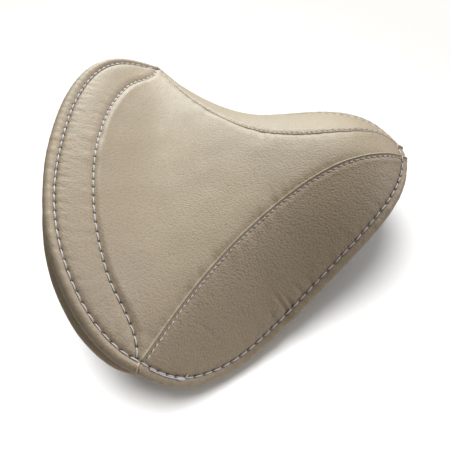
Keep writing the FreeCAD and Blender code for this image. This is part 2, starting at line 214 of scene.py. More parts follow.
def nearest_on(line, arc, points, block=4000):
    """Each point's distance to a line in space, and how far along the line that is."""
    coarse = slice(0, None, max(1, len(line) // 1600))
    line, arc = line[coarse].astype(np.float32), arc[coarse]
    distance, along = np.empty(len(points)), np.empty(len(points))
    square = (line ** 2).sum(1)
    for start in range(0, len(points), block):
        some = points[start:start + block].astype(np.float32)
        gaps = (some ** 2).sum(1)[:, None] + square[None] - 2 * some @ line.T
        best = gaps.argmin(1)
        distance[start:start + block] = np.linalg.norm(some - line[best], axis=1)
        along[start:start + block] = arc[best]
    return distance, along


def waves(values, seed, count=6, low=1.0, high=3.0):
    """A smooth random wave from -1 to 1 over numbers, from a few seeded sines."""
    rng = np.random.default_rng(seed)
    total = np.zeros_like(np.asarray(values, float))
    for _ in range(count):
        total += np.sin(values * rng.uniform(low, high) + rng.uniform(0, 2 * math.pi))
    return total / math.sqrt(count)


def smooth_field(x, y, seed, count=14, wavelength=(25, 60)):
    """A smooth random height over the plan, about -1 to 1."""
    rng = np.random.default_rng(seed)
    total = np.zeros_like(x)
    for _ in range(count):
        k = 2 * math.pi / rng.uniform(*wavelength)
        turn = rng.uniform(0, 2 * math.pi)
        total += np.sin(k * (x * math.cos(turn) + y * math.sin(turn)) + rng.uniform(0, 2 * math.pi))
    return total / math.sqrt(count)


# ---------------------------------------------------------------- the padded cover, puffed as cloth

def stitched_points(flat, points, step):
    """Which points of the grid the cloth has, which are held, and how far each is from a stitch line."""
    border_gap, _ = nearest_on(border_line, border_arc, points)
    angle = np.unwrap(np.arctan2(loop[:-1, 1], loop[:-1, 0]))
    inside = np.hypot(*flat.T) < np.interp(np.arctan2(flat[:, 1], flat[:, 0]) % (2 * math.pi),
                                           *sorted_pairs(angle % (2 * math.pi), np.hypot(*loop[:-1].T)))
    used = inside | (border_gap < 1.2 * step)
    pinned = ~inside | (border_gap < 0.45 * step)
    free = border_gap
    for line, reach in ((seam_line, 0.6), (mirror(seam_line), 0.6), (crescent_line, 0.5)):
        solid = lifted(line, cover_height)
        gap, _ = nearest_on(solid, arc_length(solid), points)
        pinned |= gap < reach * step
        free = np.minimum(free, gap)
    return used, pinned, free


def add_cloth(blank):
    """Cloth settings for the blank: held at its stitches, and blown up by the padding's pressure."""
    cloth = blank.modifiers.new("Cloth", "CLOTH")
    settings = cloth.settings
    settings.quality = 6
    settings.mass = 0.3
    settings.tension_stiffness = settings.compression_stiffness = 12
    settings.shear_stiffness = 4
    settings.bending_stiffness = 0.6
    settings.vertex_group_mass = "stitched"
    settings.use_pressure = True
    settings.uniform_pressure_force = 4.0
    settings.shrink_min = -0.006
    settings.effector_weights.gravity = 0
    cloth.collision_settings.use_collision = False
    cloth.collision_settings.use_self_collision = False
    cloth.point_cache.frame_start, cloth.point_cache.frame_end = 1, SIM_FRAMES


def blown_up(points, quads, pinned):
    """How far each point of a cloth blank moves, in millimetres."""
    mesh = bpy.data.meshes.new("cover_blank")
    mesh.from_pydata((points * MM * SIM_SCALE).tolist(), [], quads.tolist())
    blank = bpy.data.objects.new("cover_blank", mesh)
    bpy.context.collection.objects.link(blank)
    held = blank.vertex_groups.new(name="stitched")
    held.add(np.nonzero(pinned)[0].tolist(), 1.0, "REPLACE")
    add_cloth(blank)
    scene = bpy.context.scene
    for number in range(1, SIM_FRAMES + 1):
        scene.frame_set(number)
    shaped = blank.evaluated_get(bpy.context.evaluated_depsgraph_get()).to_mesh()
    after = np.empty(len(shaped.vertices) * 3)
    shaped.vertices.foreach_get("co", after)
    scene.frame_set(1)
    bpy.data.objects.remove(blank)
    return after.reshape(-1, 3) / (MM * SIM_SCALE) - points


def cloth_puff():
    """How far the padded cover swells between its stitch lines, as offsets on an even grid in plan."""
    step = 3.0
    xs, ys = np.arange(-168, 168 + step, step), np.arange(-201, 201 + step, step)
    gx, gy = np.meshgrid(xs, ys, indexing="ij")
    flat = np.c_[gx.ravel(), gy.ravel()]
    points = lifted(flat, cover_height)
    used, pinned, free = stitched_points(flat, points, step)
    index = -np.ones(len(flat), int)
    index[used] = np.arange(used.sum())
    quads = grid_quads(index.reshape(gx.shape))
    moved = blown_up(points[used], quads[(quads >= 0).all(1)], pinned[used])
    length = np.linalg.norm(moved, axis=1)
    print("cloth: moved by", round(float(length.mean()), 2), "mm, most", round(float(length.max()), 2))
    moved *= (PUFF_CAP * np.tanh(length / PUFF_CAP) / np.maximum(length, 1e-6))[:, None]
    offsets = np.zeros((len(flat), 3))
    offsets[used] = moved
    offsets = offsets.reshape(gx.shape + (3,))
    calm_share = np.clip((free - 4) / 14, 0, 1).reshape(gx.shape + (1,))
    return xs, ys, offsets * (1 - calm_share) + calmed(offsets, 14) * calm_share


def grid_quads(index):
    """Four-sided faces between the neighbours in a grid of vertex numbers."""
    corners = [index[:-1, :-1], index[1:, :-1], index[1:, 1:], index[:-1, 1:]]
    return np.stack(corners, axis=-1).reshape(-1, 4)


def calmed(offsets, rounds):
    """The offsets evened out over their neighbours, so that only the broad swell is left."""
    for _ in range(rounds):
        for axis in (0, 1):
            offsets = (np.roll(offsets, 1, axis) + 2 * offsets + np.roll(offsets, -1, axis)) / 4
    return offsets


def sorted_pairs(keys, values):
    order = np.argsort(keys)
    keys, values = keys[order], values[order]
    return np.r_[keys[-1] - 2 * math.pi, keys, keys[0] + 2 * math.pi], np.r_[values[-1], values, values[0]]


def sample_grid(grid, x, y):
    """A smooth reading of an even grid of offsets, by cubic B-splines."""
    xs, ys, values = grid
    fx, fy = (x - xs[0]) / (xs[1] - xs[0]), (y - ys[0]) / (ys[1] - ys[0])
    ix, iy = np.floor(fx).astype(int), np.floor(fy).astype(int)
    tx, ty = fx - ix, fy - iy

    def weights(t):
        inner = (3 * t ** 3 - 6 * t ** 2 + 4) / 6
        outer = (-3 * t ** 3 + 3 * t ** 2 + 3 * t + 1) / 6
        return [(1 - t) ** 3 / 6, inner, outer, t ** 3 / 6]

    total = np.zeros((len(x), 3))
    for a, wa in enumerate(weights(tx)):
        for b, wb in enumerate(weights(ty)):
            i, j = np.clip(ix + a - 1, 0, len(xs) - 1), np.clip(iy + b - 1, 0, len(ys) - 1)
            total += (wa * wb)[:, None] * values[i, j]
    return total


puff = cloth_puff()


# ---------------------------------------------------------------- surface detail

def surface_normals(points, height):
    x, y = points[:, 0], points[:, 1]
    slope_x = (height(x + 0.5, y) - height(x - 0.5, y))
    slope_y = (height(x, y + 0.5) - height(x, y - 0.5))
    normals = np.c_[-slope_x, -slope_y, np.ones(len(points))]
    return normals / np.linalg.norm(normals, axis=1)[:, None]


def near_side(points):
    """1 on the sitter's right, where the leather is fuller, and 0 on the left."""
    return 1 / (1 + np.exp(points[:, 1] / 25))


def at_rear(points):
    """1 along the rear edge, where the roll is broad and flat, and 0 elsewhere."""
    return 1 / (1 + np.exp((points[:, 0] + 140) / 5)) / (1 + np.exp(-(points[:, 1] + 35) / 12))


def pucker(points, start, end, depth, width):
    """A fold in the leather along a line in plan, deepest at its start on the border."""
    start, end = np.array(start), np.array(end)
    run = end - start
    share = ((points[:, :2] - start) @ run) / (run @ run)
    off = (points[:, :2] - start) @ np.array([-run[1], run[0]]) / np.linalg.norm(run)
    fade = np.clip(share + 0.25, 0, 0.25) * 4 * np.clip(1 - share, 0, 1) ** 0.8
    return -depth * fade * np.exp(-(off / width) ** 2) * (share < 1)


def puckers(points):
    """The folds where the leather gathers on the sitter's right, and a faint crease in the side panel."""
    total = np.zeros(len(points))
    for start, end, depth, width in PUCKERS:
        total += pucker(points, start, end, depth, width)
        beside = pucker(points, np.add(start, BESIDE_FOLD), np.add(end, BESIDE_FOLD), 1, width)
        total += 0.55 * depth * np.exp(-1.0) * -beside
    return total


def pinch(points):
    """How far the roll draws in beside the deepest pucker, swelling next to it."""
    away = points[:, 0] - PINCH_AT
    right = points[:, 1] < 0
    return right * (0.9 * np.exp(-(away / 3.5) ** 2) - 0.7 * np.exp(-((away - 8.5) / 4.5) ** 2))


def border_detail(gap, along, points):
    """The cover near its border stitches: a groove, pinched needle holes and folds that fan inwards."""
    phase = (along - CORNER_ARC) / PITCH
    hole = np.cos(math.pi * phase) ** 2
    groove = -1.1 * np.exp(-(gap / 1.9) ** 2) - 0.5 * hole ** 6 * np.exp(-(gap / 1.1) ** 2)
    scallop = 0.16 * (0.5 - hole) * np.exp(-((gap - 4) / 3.5) ** 2)
    folds = waves(along, 3, 9, 0.28, 0.75) * 0.14 * near_side(points)
    folds = folds * np.clip(0.75 + 0.5 * waves(along, 8, 4, 0.02, 0.06), 0.15, 1.6)
    return groove + scallop + folds * (gap / (gap + 3.5)) * np.exp(-gap / 11)


def seam_detail(gap, along, is_top):
    """The seam: a rolled fold on the centre panel, a crease, and a stitched flange on the side panel."""
    crease = -0.55 * np.exp(-(gap / 0.35) ** 2)
    if is_top:
        return crease + 0.85 * np.exp(-((gap - 0.95) / 0.5) ** 2)
    hole = np.cos(math.pi * along / SEAM_STITCH_PITCH) ** 2
    stitched = -(0.30 + 0.30 * hole ** 3) * np.exp(-((gap - FLANGE) / 0.8) ** 2)
    puff_out = 0.30 * np.exp(-((gap - 6.0) / 2.6) ** 2) * (1 + 0.15 * waves(along, 12, 6, 0.3, 0.8))
    return crease + stitched + puff_out


def crescent_detail(gap, along):
    hole = np.cos(math.pi * along / PITCH) ** 2
    groove = -(0.7 + 0.5 * hole ** 6) * np.exp(-(gap / 1.5) ** 2)
    folds = 0.03 * waves(along, 21, 7, 0.3, 0.7) * (gap / (gap + 3)) * np.exp(-gap / 8)
    return groove + 0.35 * np.exp(-((gap - 5) / 3.5) ** 2) + folds


seam_solid = lifted(seam_line, cover_height)
seam_arc = arc_length(seam_solid)
crescent_solid = lifted(crescent_line, top_height)
crescent_arc = arc_length(crescent_solid)


def shaped_cover(plan, height, is_top):
    """Plan points brought onto the cover, with the padding's swell and all of its stitched detail."""
    points = lifted(plan, height)
    x, y = plan[:, 0], plan[:, 1]
    normals = surface_normals(points, height)
    border_gap, border_at = nearest_on(border_line, border_arc, points)
    seam_gap, seam_at = nearest_on(seam_solid, seam_arc, points)
    seam_gap_2, seam_at_2 = nearest_on(mirror(seam_solid), seam_arc, points)
    seam_at = np.where(seam_gap < seam_gap_2, seam_at, seam_at_2)
    seam_gap = np.minimum(seam_gap, seam_gap_2)
    rear_gap, rear_at = nearest_on(crescent_solid, crescent_arc, points)
    rise = border_detail(border_gap, border_at, points) + seam_detail(seam_gap, seam_at, is_top)
    if is_top:
        rise = rise + crescent_detail(rear_gap, rear_at)
    rise = rise + puckers(points)
    rise = rise + 0.14 * smooth_field(x, y, 5, 16, (22, 60)) * np.clip(border_gap / 15, 0, 1)
    swell = sample_grid(puff, x, y) * np.clip(border_gap / 3, 0, 1)[:, None]
    shaped = points + swell + normals * rise[:, None]
    far_off = np.full(len(plan), FAR)
    return shaped, {"border_gap": border_gap, "border_at": border_at,
                    "seam_gap": -seam_gap if is_top else seam_gap, "seam_at": seam_at,
                    "rear_gap": rear_gap if is_top else far_off, "rear_at": rear_at, "tuck_gap": far_off}


# ---------------------------------------------------------------- meshes

def graded(length, step, fine_start=(), fine_end=()):
    """Positions from 0 to length in even steps, with finer ones near either end."""
    start = [d for d in fine_start if d < length / 3]
    end = [length - d for d in fine_end[::-1] if d < length / 3]
    low, high = (start[-1] if start else 0), (end[0] if end else length)
    middle = np.linspace(low, high, max(2, int(round((high - low) / step)) + 1))
    return np.unique(np.round(np.r_[0, start, middle, end, length], 6))


def new_piece(name, points, faces):
    """A smooth mesh object from points in millimetres."""
    mesh = bpy.data.meshes.new(name)
    mesh.from_pydata((points * MM).tolist(), [], faces)
    mesh.shade_smooth()
    piece = bpy.data.objects.new(name, mesh)
    bpy.context.collection.objects.link(piece)
    return piece


def grid_mesh(name, points, facts, close=False):
    """A smooth mesh from a rows x columns grid of points in millimetres, with named facts on its vertices."""
    rows, columns = points.shape[:2]
    index = np.arange(rows * columns).reshape(rows, columns)
    if close:
        index = np.vstack([index, index[:1]])
    piece = new_piece(name, points.reshape(-1, 3), grid_quads(index).tolist())
    for fact, values in facts.items():
        layer = piece.data.attributes.new(fact, "FLOAT", "POINT")
        layer.data.foreach_set("value", np.asarray(values, np.float32).ravel())
    return piece


def top_panel_plan():
    """Rows of plan points from the rear edge to the nose; each runs from the right seam to the left one."""
    seam = by_length(seam_line, 1200)
    seam_s = arc_length(seam)
    along = graded(seam_s[-1], 1.15, (0.5, 1.0, 1.6, 2.3, 3.1), (0.5, 1.0, 1.6, 2.3, 3.1))
    sx, sy = np.interp(along, seam_s, seam[:, 0]), np.interp(along, seam_s, seam[:, 1])
    rear_s = arc_length(rear_line)
    across = graded(rear_s[-1], 1.3, (0.4, 0.8, 1.2, 1.7, 2.3, 3.0), (0.4, 0.8, 1.2, 1.7, 2.3, 3.0))
    rx, ry = np.interp(across, rear_s, rear_line[:, 0]), np.interp(across, rear_s, rear_line[:, 1])
    nose = np.vstack([nose_half, mirror(nose_half[:-1])[::-1]])[::-1]
    nose_x = np.interp(ry / ry[-1] * nose[-1, 1], nose[:, 1], nose[:, 0])
    gap_line = np.minimum(across, across[-1] - across)
    share = along / along[-1]
    plan = np.empty((len(along), len(across), 2))
    for i, u in enumerate(share):
        fade = (1 - u) ** 1.5
        target = sy[i]
        edge = min(EDGE_BAND, target / 4)
        inner = gap_line >= EDGE_BAND + 0.01
        from_edge = np.where(inner, 0, gap_line * edge / EDGE_BAND)
        scale = (target - edge) / (np.abs(ry[inner]).max())
        spread = np.where(inner, ry * scale, np.sign(ry) * (target - from_edge))
        spread = spread * (1 - fade) + ry * target / ry[-1] * fade
        plan[i, :, 0] = sx[i] + (rx - rx[0]) * fade + (nose_x - nose_x[0]) * u ** 8
        plan[i, :, 1] = spread
    plan[0] = np.c_[rx, ry]
    return plan


def side_panel_plan():
    """Rows of plan points from the left seam to the border; columns run from the corner to the nose."""
    seam, edge = by_length(seam_line, 1200), by_length(side_line, 1200)
    length = arc_length(edge)[-1]
    columns = graded(length, 1.15, (0.5, 1.0, 1.6, 2.3), (0.5, 1.0, 1.6, 2.3)) / length
    grid = np.linspace(0, 1, 1200)
    seam = np.stack([np.interp(columns, grid, seam[:, k]) for k in (0, 1)], axis=1)
    edge = np.stack([np.interp(columns, grid, edge[:, k]) for k in (0, 1)], axis=1)
    widest = np.linalg.norm(seam - edge, axis=1).max()
    rows = graded(widest, 1.0, (0.4, 0.8, 1.3, 1.9, 2.5, 3.1, 3.7, 4.4), (0.5, 1.0, 1.6, 2.3, 3.1)) / widest
    return seam[None] * (1 - rows)[:, None, None] + edge[None] * rows[:, None, None]


def profile_weights(controls):
    """The matrix that turns a profile's control points into a smooth line of samples."""
    t = np.linspace(0, controls - 1, PROFILE_SAMPLES)
    columns = [natural_spline(np.c_[np.arange(controls), np.eye(controls)[k]])(t) for k in range(controls)]
    return np.stack(columns, axis=1)


def meet_side_panels(plan, inner, fall):
    """The centre panel's fall at the border, which becomes the side panels' fall where their rims meet."""
    arc = arc_length(plan)
    away = np.minimum(np.minimum(arc, arc[-1] - arc) / JOIN_BLEND, 1)
    side_fall = np.arctan2(side_height(*inner.T) - side_height(*plan.T), 8)
    own_share = away ** 2 * (3 - 2 * away)
    return side_fall * (1 - own_share) + fall * own_share


def wall_foot(fall):
    """Distance outside the border, in plan, where the cover's wall meets the underside."""
    depth = (EDGE_DEPTH + SHELL_THICKNESS + 2) * np.cos(fall)
    return FOOT_OUT * np.cos(fall) - depth * np.sin(fall) - WALL_LEAN


def rim_axes(plan, height):
    """Along the border: points on the cover, the way out, the fall, and the axes of the rim's section."""
    ahead = np.gradient(plan, axis=0)
    ahead /= np.linalg.norm(ahead, axis=1)[:, None]
    out = np.c_[ahead[:, 1], -ahead[:, 0]]
    if ((plan + out) ** 2).sum() < (plan ** 2).sum():
        out = -out
    inner = plan - out * 8
    fall = np.arctan2(height(*inner.T) - height(*plan.T), 8)
    if height is top_height:
        fall = meet_side_panels(plan, inner, fall)
    out3 = np.c_[out, np.zeros(len(out))]
    up = np.array([0, 0, 1.0])
    slope_out = out3 * np.cos(fall)[:, None] - up * np.sin(fall)[:, None]
    slope_in = -out3 * np.sin(fall)[:, None] - up * np.cos(fall)[:, None]
    return lifted(plan, height), out3, fall, slope_out, slope_in


def rim_fullness(base, at, start_seam, end_seam):
    """How full the roll is along the border: drawn in at each stitch, and ridged where a seam crosses it."""
    phase = (at - CORNER_ARC) / PITCH
    full = 0.14 * (0.5 - np.cos(math.pi * phase) ** 2)
    full = full + waves(at, 31, 8, 0.10, 0.45) * (0.05 + 0.10 * near_side(base)) - pinch(base)
    walked = arc_length(base)
    for gap, ridge in ((walked, start_seam), (walked[-1] - walked, end_seam)):
        full = full - 0.3 * np.exp(-(gap / 0.3) ** 2) + ridge * 0.95 * np.exp(-((gap - 1.1) / 0.6) ** 2)
    return full


def roll_controls(base, slope_out, slope_in, full):
    """Control points of the rolled edge, from the border stitches round to the tuck below it."""
    flat = at_rear(base)
    controls = []
    for angle in (140, 106, 72, 38, 4, -30, -64):
        t = math.radians(angle)
        radius = ROLL_RADIUS + full * max(0.25, math.sin(t) + 0.25)
        along = (ROLL_OUT + radius * math.cos(t)) * (1 + 0.32 * flat)
        below = ROLL_DROP - radius * math.sin(t) * (1 - 0.15 * flat)
        controls.append(base + slope_out * along[:, None] + slope_in * below[:, None])
    controls.append(base + slope_out * (ROLL_OUT - 0.6) + slope_in * (ROLL_DROP + ROLL_RADIUS + 0.2))
    return controls


def wall_controls(plan, at, out3, foot, tuck):
    """Control points of the bulging wall under the roll, and of the margin turned in below the shell."""
    def under(reach, drop):
        p = plan + out3[:, :2] * (foot - reach)[:, None]
        return np.c_[p, shell_height(p[:, 0], p[:, 1]) - SHELL_THICKNESS - drop]

    wall_end = under(0, 1.45)
    creases = waves(at, 41, 8, 0.08, 0.3)[:, None] * out3 * 0.12
    controls = [tuck + (wall_end - tuck) * share + out3 * bulge + creases * share
                for share, bulge in ((0.12, 2.7), (0.32, 4.9), (0.62, 4.0), (0.88, 1.5))]
    margin_drop = 1.45 + waves(at, 51, 6, 0.2, 0.5) * 0.15
    controls += [under(reach, margin_drop) for reach in (2.5, 8, 15, MARGIN_REACH)]
    controls.append(under(MARGIN_REACH + 0.2, 0.25))
    return controls


def rim_points(plan, height, edge_row, start_seam, end_seam):
    """The rolled edge outside the border stitches, the wall under it and the margin below the shell."""
    base, out3, fall, slope_out, slope_in = rim_axes(plan, height)
    _, at = nearest_on(border_line, border_arc, base)
    full = rim_fullness(base, at, start_seam, end_seam)
    controls = [edge_row] + roll_controls(base, slope_out, slope_in, full)
    controls += wall_controls(plan, at, out3, wall_foot(fall), controls[-1])
    smooth = np.einsum("mk,knc->mnc", profile_weights(len(controls)), np.stack(controls, axis=0))
    smooth[0] = edge_row
    walked = np.cumsum(np.r_[0, np.linalg.norm(np.diff(smooth.mean(1), axis=0), axis=1)])
    tuck_depth = np.interp(TUCK_CONTROL / (len(controls) - 1), np.linspace(0, 1, PROFILE_SAMPLES), walked)
    line_length = arc_length(base)
    to_seam = np.minimum(line_length, line_length[-1] - line_length)
    if height is top_height:
        to_seam = -to_seam
    return smooth, {"border_at": np.repeat(at[None], PROFILE_SAMPLES, 0),
                    "border_gap": np.repeat(walked[:, None], len(plan), 1),
                    "tuck_gap": np.repeat(np.abs(walked - tuck_depth)[:, None], len(plan), 1),
                    "seam_gap": np.repeat(to_seam[None], PROFILE_SAMPLES, 0)}


def join(name, pieces):
    """Several pieces made into one."""
    with bpy.context.temp_override(active_object=pieces[0], object=pieces[0], selected_objects=pieces,
                                   selected_editable_objects=pieces):
        bpy.ops.object.join()
    whole = pieces[0]
    whole.name = whole.data.name = name
    return whole


def cover_piece(name, plan, height, is_top, rims):
    """One panel of the cover with its rim. rims are (row of plan points, start seam, end seam)."""
    shape = plan.shape[:2]
    shaped, facts = shaped_cover(plan.reshape(-1, 2), height, is_top)
    grid = shaped.reshape(shape + (3,))
    parts = [grid_mesh(name + "_sheet", grid, facts)]
    for k, (pick, start_seam, end_seam) in enumerate(rims):
        edge_plan, edge_row = plan[pick], grid[pick]
        strip, strip_facts = rim_points(edge_plan, height, edge_row, start_seam, end_seam)
        for fact in FACTS:
            if fact not in strip_facts:
                strip_facts[fact] = np.full(strip.shape[:2], FAR)
        parts.append(grid_mesh(name + "_rim%d" % k, strip, strip_facts))
    whole = join(name, parts)
    weld_and_face_out(whole)
    return whole


def weld_and_face_out(piece):
    """Joins points that meet, and turns every face outwards."""
    mesh = bmesh.new()
    mesh.from_mesh(piece.data)
    bmesh.ops.remove_doubles(mesh, verts=mesh.verts, dist=0.02 * MM)
    bmesh.ops.recalc_face_normals(mesh, faces=mesh.faces)
    highest = max(mesh.faces, key=lambda face: face.calc_center_median().z)
    if highest.normal.z < 0:
        bmesh.ops.reverse_faces(mesh, faces=mesh.faces)
    mesh.to_mesh(piece.data)
    mesh.free()
    piece.data.shade_smooth()


top_plan = top_panel_plan()
side_plan = side_panel_plan()
first_row, last_row = (0, slice(None)), (-1, slice(None))
top_cover = cover_piece("top_panel_cover", top_plan, top_height, True, [(first_row, 1, 1), (last_row, 1, 1)])
left_cover = cover_piece("side_panel_left_cover", side_plan, side_height, False, [(last_row, 0.4, 0.4)])
right_cover = cover_piece("side_panel_right_cover", mirror(side_plan), side_height, False,
                          [(last_row, 0.4, 0.4)])


# ---------------------------------------------------------------- threads

def tube_faces(start, rings, sides):
    """The sides and the two ends of a closed tube, whose points are numbered from start."""
    index = start + np.arange(rings * sides).reshape(rings, sides)
    ring = np.hstack([index, index[:, :1]])
    quads = np.stack([ring[:-1, :-1], ring[:-1, 1:], ring[1:, 1:], ring[1:, :-1]], -1)
    return quads.reshape(-1, 4).tolist() + [index[0][::-1].tolist(), index[-1].tolist()]


def thread_mesh(name, line, pitch, first, radius, fill=0.86, sink=0.9, raise_by=0.0, seed=0):
    """A row of stitches along a line on the cover: each rises from one needle hole and dips into the next."""
    rng = np.random.default_rng(seed)
    arc = arc_length(line)
    count = int((arc[-1] - first) // pitch)
    rings, sides = 15, 12
    t = np.linspace(0, 1, rings)
    turn = np.linspace(0, 2 * math.pi, sides, endpoint=False)
    points, faces = [], []
    ahead_all = np.gradient(line, axis=0)
    for k in range(count):
        long = pitch * fill * (1 + rng.uniform(-0.04, 0.04))
        middle = first + (k + 0.5) * pitch
        at = middle + (t - 0.5) * long
        centre = np.stack([np.interp(at, arc, line[:, c]) for c in range(3)], axis=1)
        ahead = np.stack([np.interp(at, arc, ahead_all[:, c]) for c in range(3)], axis=1)
        ahead /= np.linalg.norm(ahead, axis=1)[:, None]
        outward = np.cross(ahead, normals_at(centre))
        outward /= np.linalg.norm(outward, axis=1)[:, None]
        up = np.cross(outward, ahead)
        arch = 1 - np.abs(2 * t - 1) ** 3.2
        rise = raise_by + rng.uniform(-0.08, 0.08) - sink * (1 - arch)
        lean = rng.uniform(-0.18, 0.18)
        centre = centre + up * rise[:, None] + outward * (lean * (2 * t - 1))[:, None]
        swell = radius * (1 + rng.uniform(-0.07, 0.07)) * (0.30 + 0.70 * (1 - np.abs(2 * t - 1) ** 3))
        wound = 1 + 0.10 * np.cos(2 * (turn[None] - (2.4 * math.pi * t * long / (6 * radius))[:, None]))
        ring = swell[:, None] * wound
        spot = (centre[:, None] + outward[:, None] * (ring * np.cos(turn))[..., None]
                + up[:, None] * (0.88 * ring * np.sin(turn))[..., None])
        points.append(spot.reshape(-1, 3))
        faces += tube_faces(k * rings * sides, rings, sides)
    return new_piece(name, np.vstack(points), faces)


def normals_at(points):
    return surface_normals(points, cover_height)


border_plan = by_length(loop, 4000)
start = int(np.argmin(np.linalg.norm(border_plan - left_loop[corner_at], axis=1)))
border_plan = np.vstack([border_plan[start:-1], border_plan[:start + 1]])
border_seat = lifted(border_plan, cover_height)
border_seat = border_seat - normals_at(border_seat) * 1.1
border_thread = thread_mesh("border_thread", border_seat, PITCH, 0.0, 0.64, 0.90, raise_by=0.95, seed=2)

crescent_plan = by_length(crescent_line, 1500)
crescent_seat = lifted(crescent_plan, top_height)
puff_there = sample_grid(puff, crescent_plan[:, 0], crescent_plan[:, 1])
crescent_seat = crescent_seat + puff_there - normals_at(crescent_seat) * 0.8
crescent_room = arc_length(crescent_seat)[-1]
crescent_first = (crescent_room - PITCH * int(crescent_room // PITCH)) / 2
rear_thread = thread_mesh("rear_thread", crescent_seat, PITCH, crescent_first, 0.60, 0.90,
                          raise_by=0.70, seed=3)


def flange_line(side):
    """The topstitch's line, on the side panel beside the seam."""
    plan = by_length(seam_line, 1500)
    ahead = np.gradient(plan, axis=0)
    ahead /= np.linalg.norm(ahead, axis=1)[:, None]
    away = np.c_[-ahead[:, 1], ahead[:, 0]]
    if away[:, 1].mean() < 0:
        away = -away
    shifted = plan + away * FLANGE * math.cos(math.atan(FOLD_SLOPE + 0.25))
    inner = shifted[6:-6]
    seat = lifted(inner, side_height)
    puff_here = sample_grid(puff, inner[:, 0], inner[:, 1])
    seat = seat + puff_here - surface_normals(seat, side_height) * 0.4
    return seat if side > 0 else mirror(seat)


left_thread, right_thread = [
    thread_mesh(name, flange_line(side), SEAM_STITCH_PITCH, 2.5, 0.46, 0.8, 0.6, 0.44, seed)
    for name, side, seed in (("seam_thread_left", 1, 4), ("seam_thread_right", -1, 5))]


def tube_rings(line, radii, sides, lobes, twist):
    """Rings of points round a line, with lobes that wind along it like the strands of a thread."""
    ahead = np.gradient(line, axis=0)
    ahead /= np.linalg.norm(ahead, axis=1)[:, None]
    across = np.cross(ahead, (0, 0, 1.0))
    across /= np.linalg.norm(across, axis=1)[:, None]
    up = np.cross(across, ahead)
    turn = np.linspace(0, 2 * math.pi, sides, endpoint=False)
    ring = radii[:, None] * (1 + 0.08 * np.cos(lobes * turn - twist * arc_length(line)[:, None]))
    return (line[:, None] + across[:, None] * (ring * np.cos(turn))[..., None]
            + up[:, None] * (ring * np.sin(turn))[..., None])


def tubes(name, runs, sides=12, lobes=2, twist=1.6):
    """One piece made of closed tubes. runs are (line, radius at each of its points)."""
    points, faces, start = [], [], 0
    for line, radii in runs:
        rings = tube_rings(line, radii, sides, lobes, twist)
        faces += tube_faces(start, len(line), sides)
        points.append(rings.reshape(-1, 3))
        start += len(line) * sides
    return new_piece(name, np.vstack(points), faces)


def right_border_run(start_x, end_x, count, along, below):
    """Points beside the border stitches on the sitter's right, ahead of the rear corner."""
    run = side_line[(side_line[:, 0] > start_x) & (side_line[:, 0] < end_x) & (side_line[:, 1] > 150)]
    base, _, _, slope_out, slope_in = rim_axes(by_length(run, count), side_height)
    return mirror(base + slope_out * along + slope_in * below)


def thread_end():
    """The doubled end of the border thread, its knot and the tail left on it."""
    doubled = right_border_run(-72, -50, 60, 0.9, -0.9)
    knot = right_border_run(-53, -46, 24, 0.7, -1.0)
    shares = np.linspace(-1, 1, len(knot))
    lumps = 1.25 * np.sqrt(np.clip(1 - shares ** 2, 0.05, 1)) * (1 + 0.12 * np.sin(5 * shares))
    steps = np.linspace(0, 1, 16)[:, None]
    bend = np.array([3.2, 2.2, 0.6]) * steps + np.array([0, 1.4, -0.4]) * steps ** 2
    tail_radii = 0.42 * (1 - 0.35 * steps[:, 0] ** 3)
    thread_radii = np.full(len(doubled), 0.52)
    thread_radii[[0, -1]] = 0.3
    return tubes("thread_end", [(doubled, thread_radii), (knot, lumps), (knot[-4] + bend, tail_radii)])


tied_end = thread_end()


# ---------------------------------------------------------------- padding, edge cord and dust cover

def outline(reach):
    """The border in plan, moved outwards by reach(fall)."""
    plan = by_length(loop, 481)
    wrapped = np.vstack([plan[-2:-1], plan, plan[1:2]])
    _, out3, fall, _, _ = rim_axes(wrapped, cover_height)
    moved = wrapped + out3[:, :2] * np.broadcast_to(reach(fall), len(fall))[:, None]
    return moved[1:-2]


def pad_piece(name, edge, top, bottom, rounding, lumps, seed):
    """A closed pad between two heights over an outline in plan, with its edge rounded over."""
    shares = np.r_[np.linspace(0, 0.9, 26), np.linspace(0.91, 0.97, 6), 0.98, 0.987, 0.993, 0.997, 1]
    plan = edge[:, None] * shares[None, :, None]
    x, y = plan[..., 0], plan[..., 1]
    from_edge = np.linalg.norm(edge, axis=1)[:, None] * (1 - shares)
    thick = top(x, y) - bottom(x, y)
    radius = np.minimum(rounding, 0.48 * thick)
    bite = radius * (1 - np.sqrt(1 - np.clip(1 - from_edge / radius, 0, 1) ** 2))
    upper = top(x, y) - bite - lumps * (1 + smooth_field(x, y, seed, 16, (9, 26)))
    lower = bottom(x, y) + bite + lumps * (1 + smooth_field(x, y, seed + 1, 16, (9, 26)))
    above, below = np.dstack([plan, upper]), np.dstack([plan, lower])
    piece = grid_mesh(name, np.concatenate([above, below[:, ::-1]], axis=1), {}, close=True)
    weld_and_face_out(piece)
    return piece


def edge_filler_piece():
    """The cord that fills the rolled edge, in two lengths that meet at the rear and at the nose."""
    plan = by_length(left_loop, 400)
    _, _, _, slope_out, slope_in = rim_axes(plan, cover_height)
    line = lifted(plan, cover_height) + slope_out * ROLL_OUT + slope_in * ROLL_DROP
    line = line[line[:, 1] > 0.3]
    radii = np.full(len(line), 2.4)
    for place in (CORNER_XY, NOSE_XY):
        away = np.linalg.norm(line[:, :2] - place, axis=1)
        radii = radii - 1.2 * np.exp(-(away / 16) ** 2)
    return tubes("edge_filler", [(line, radii), (mirror(line), radii)], 20, 3, 0.35)


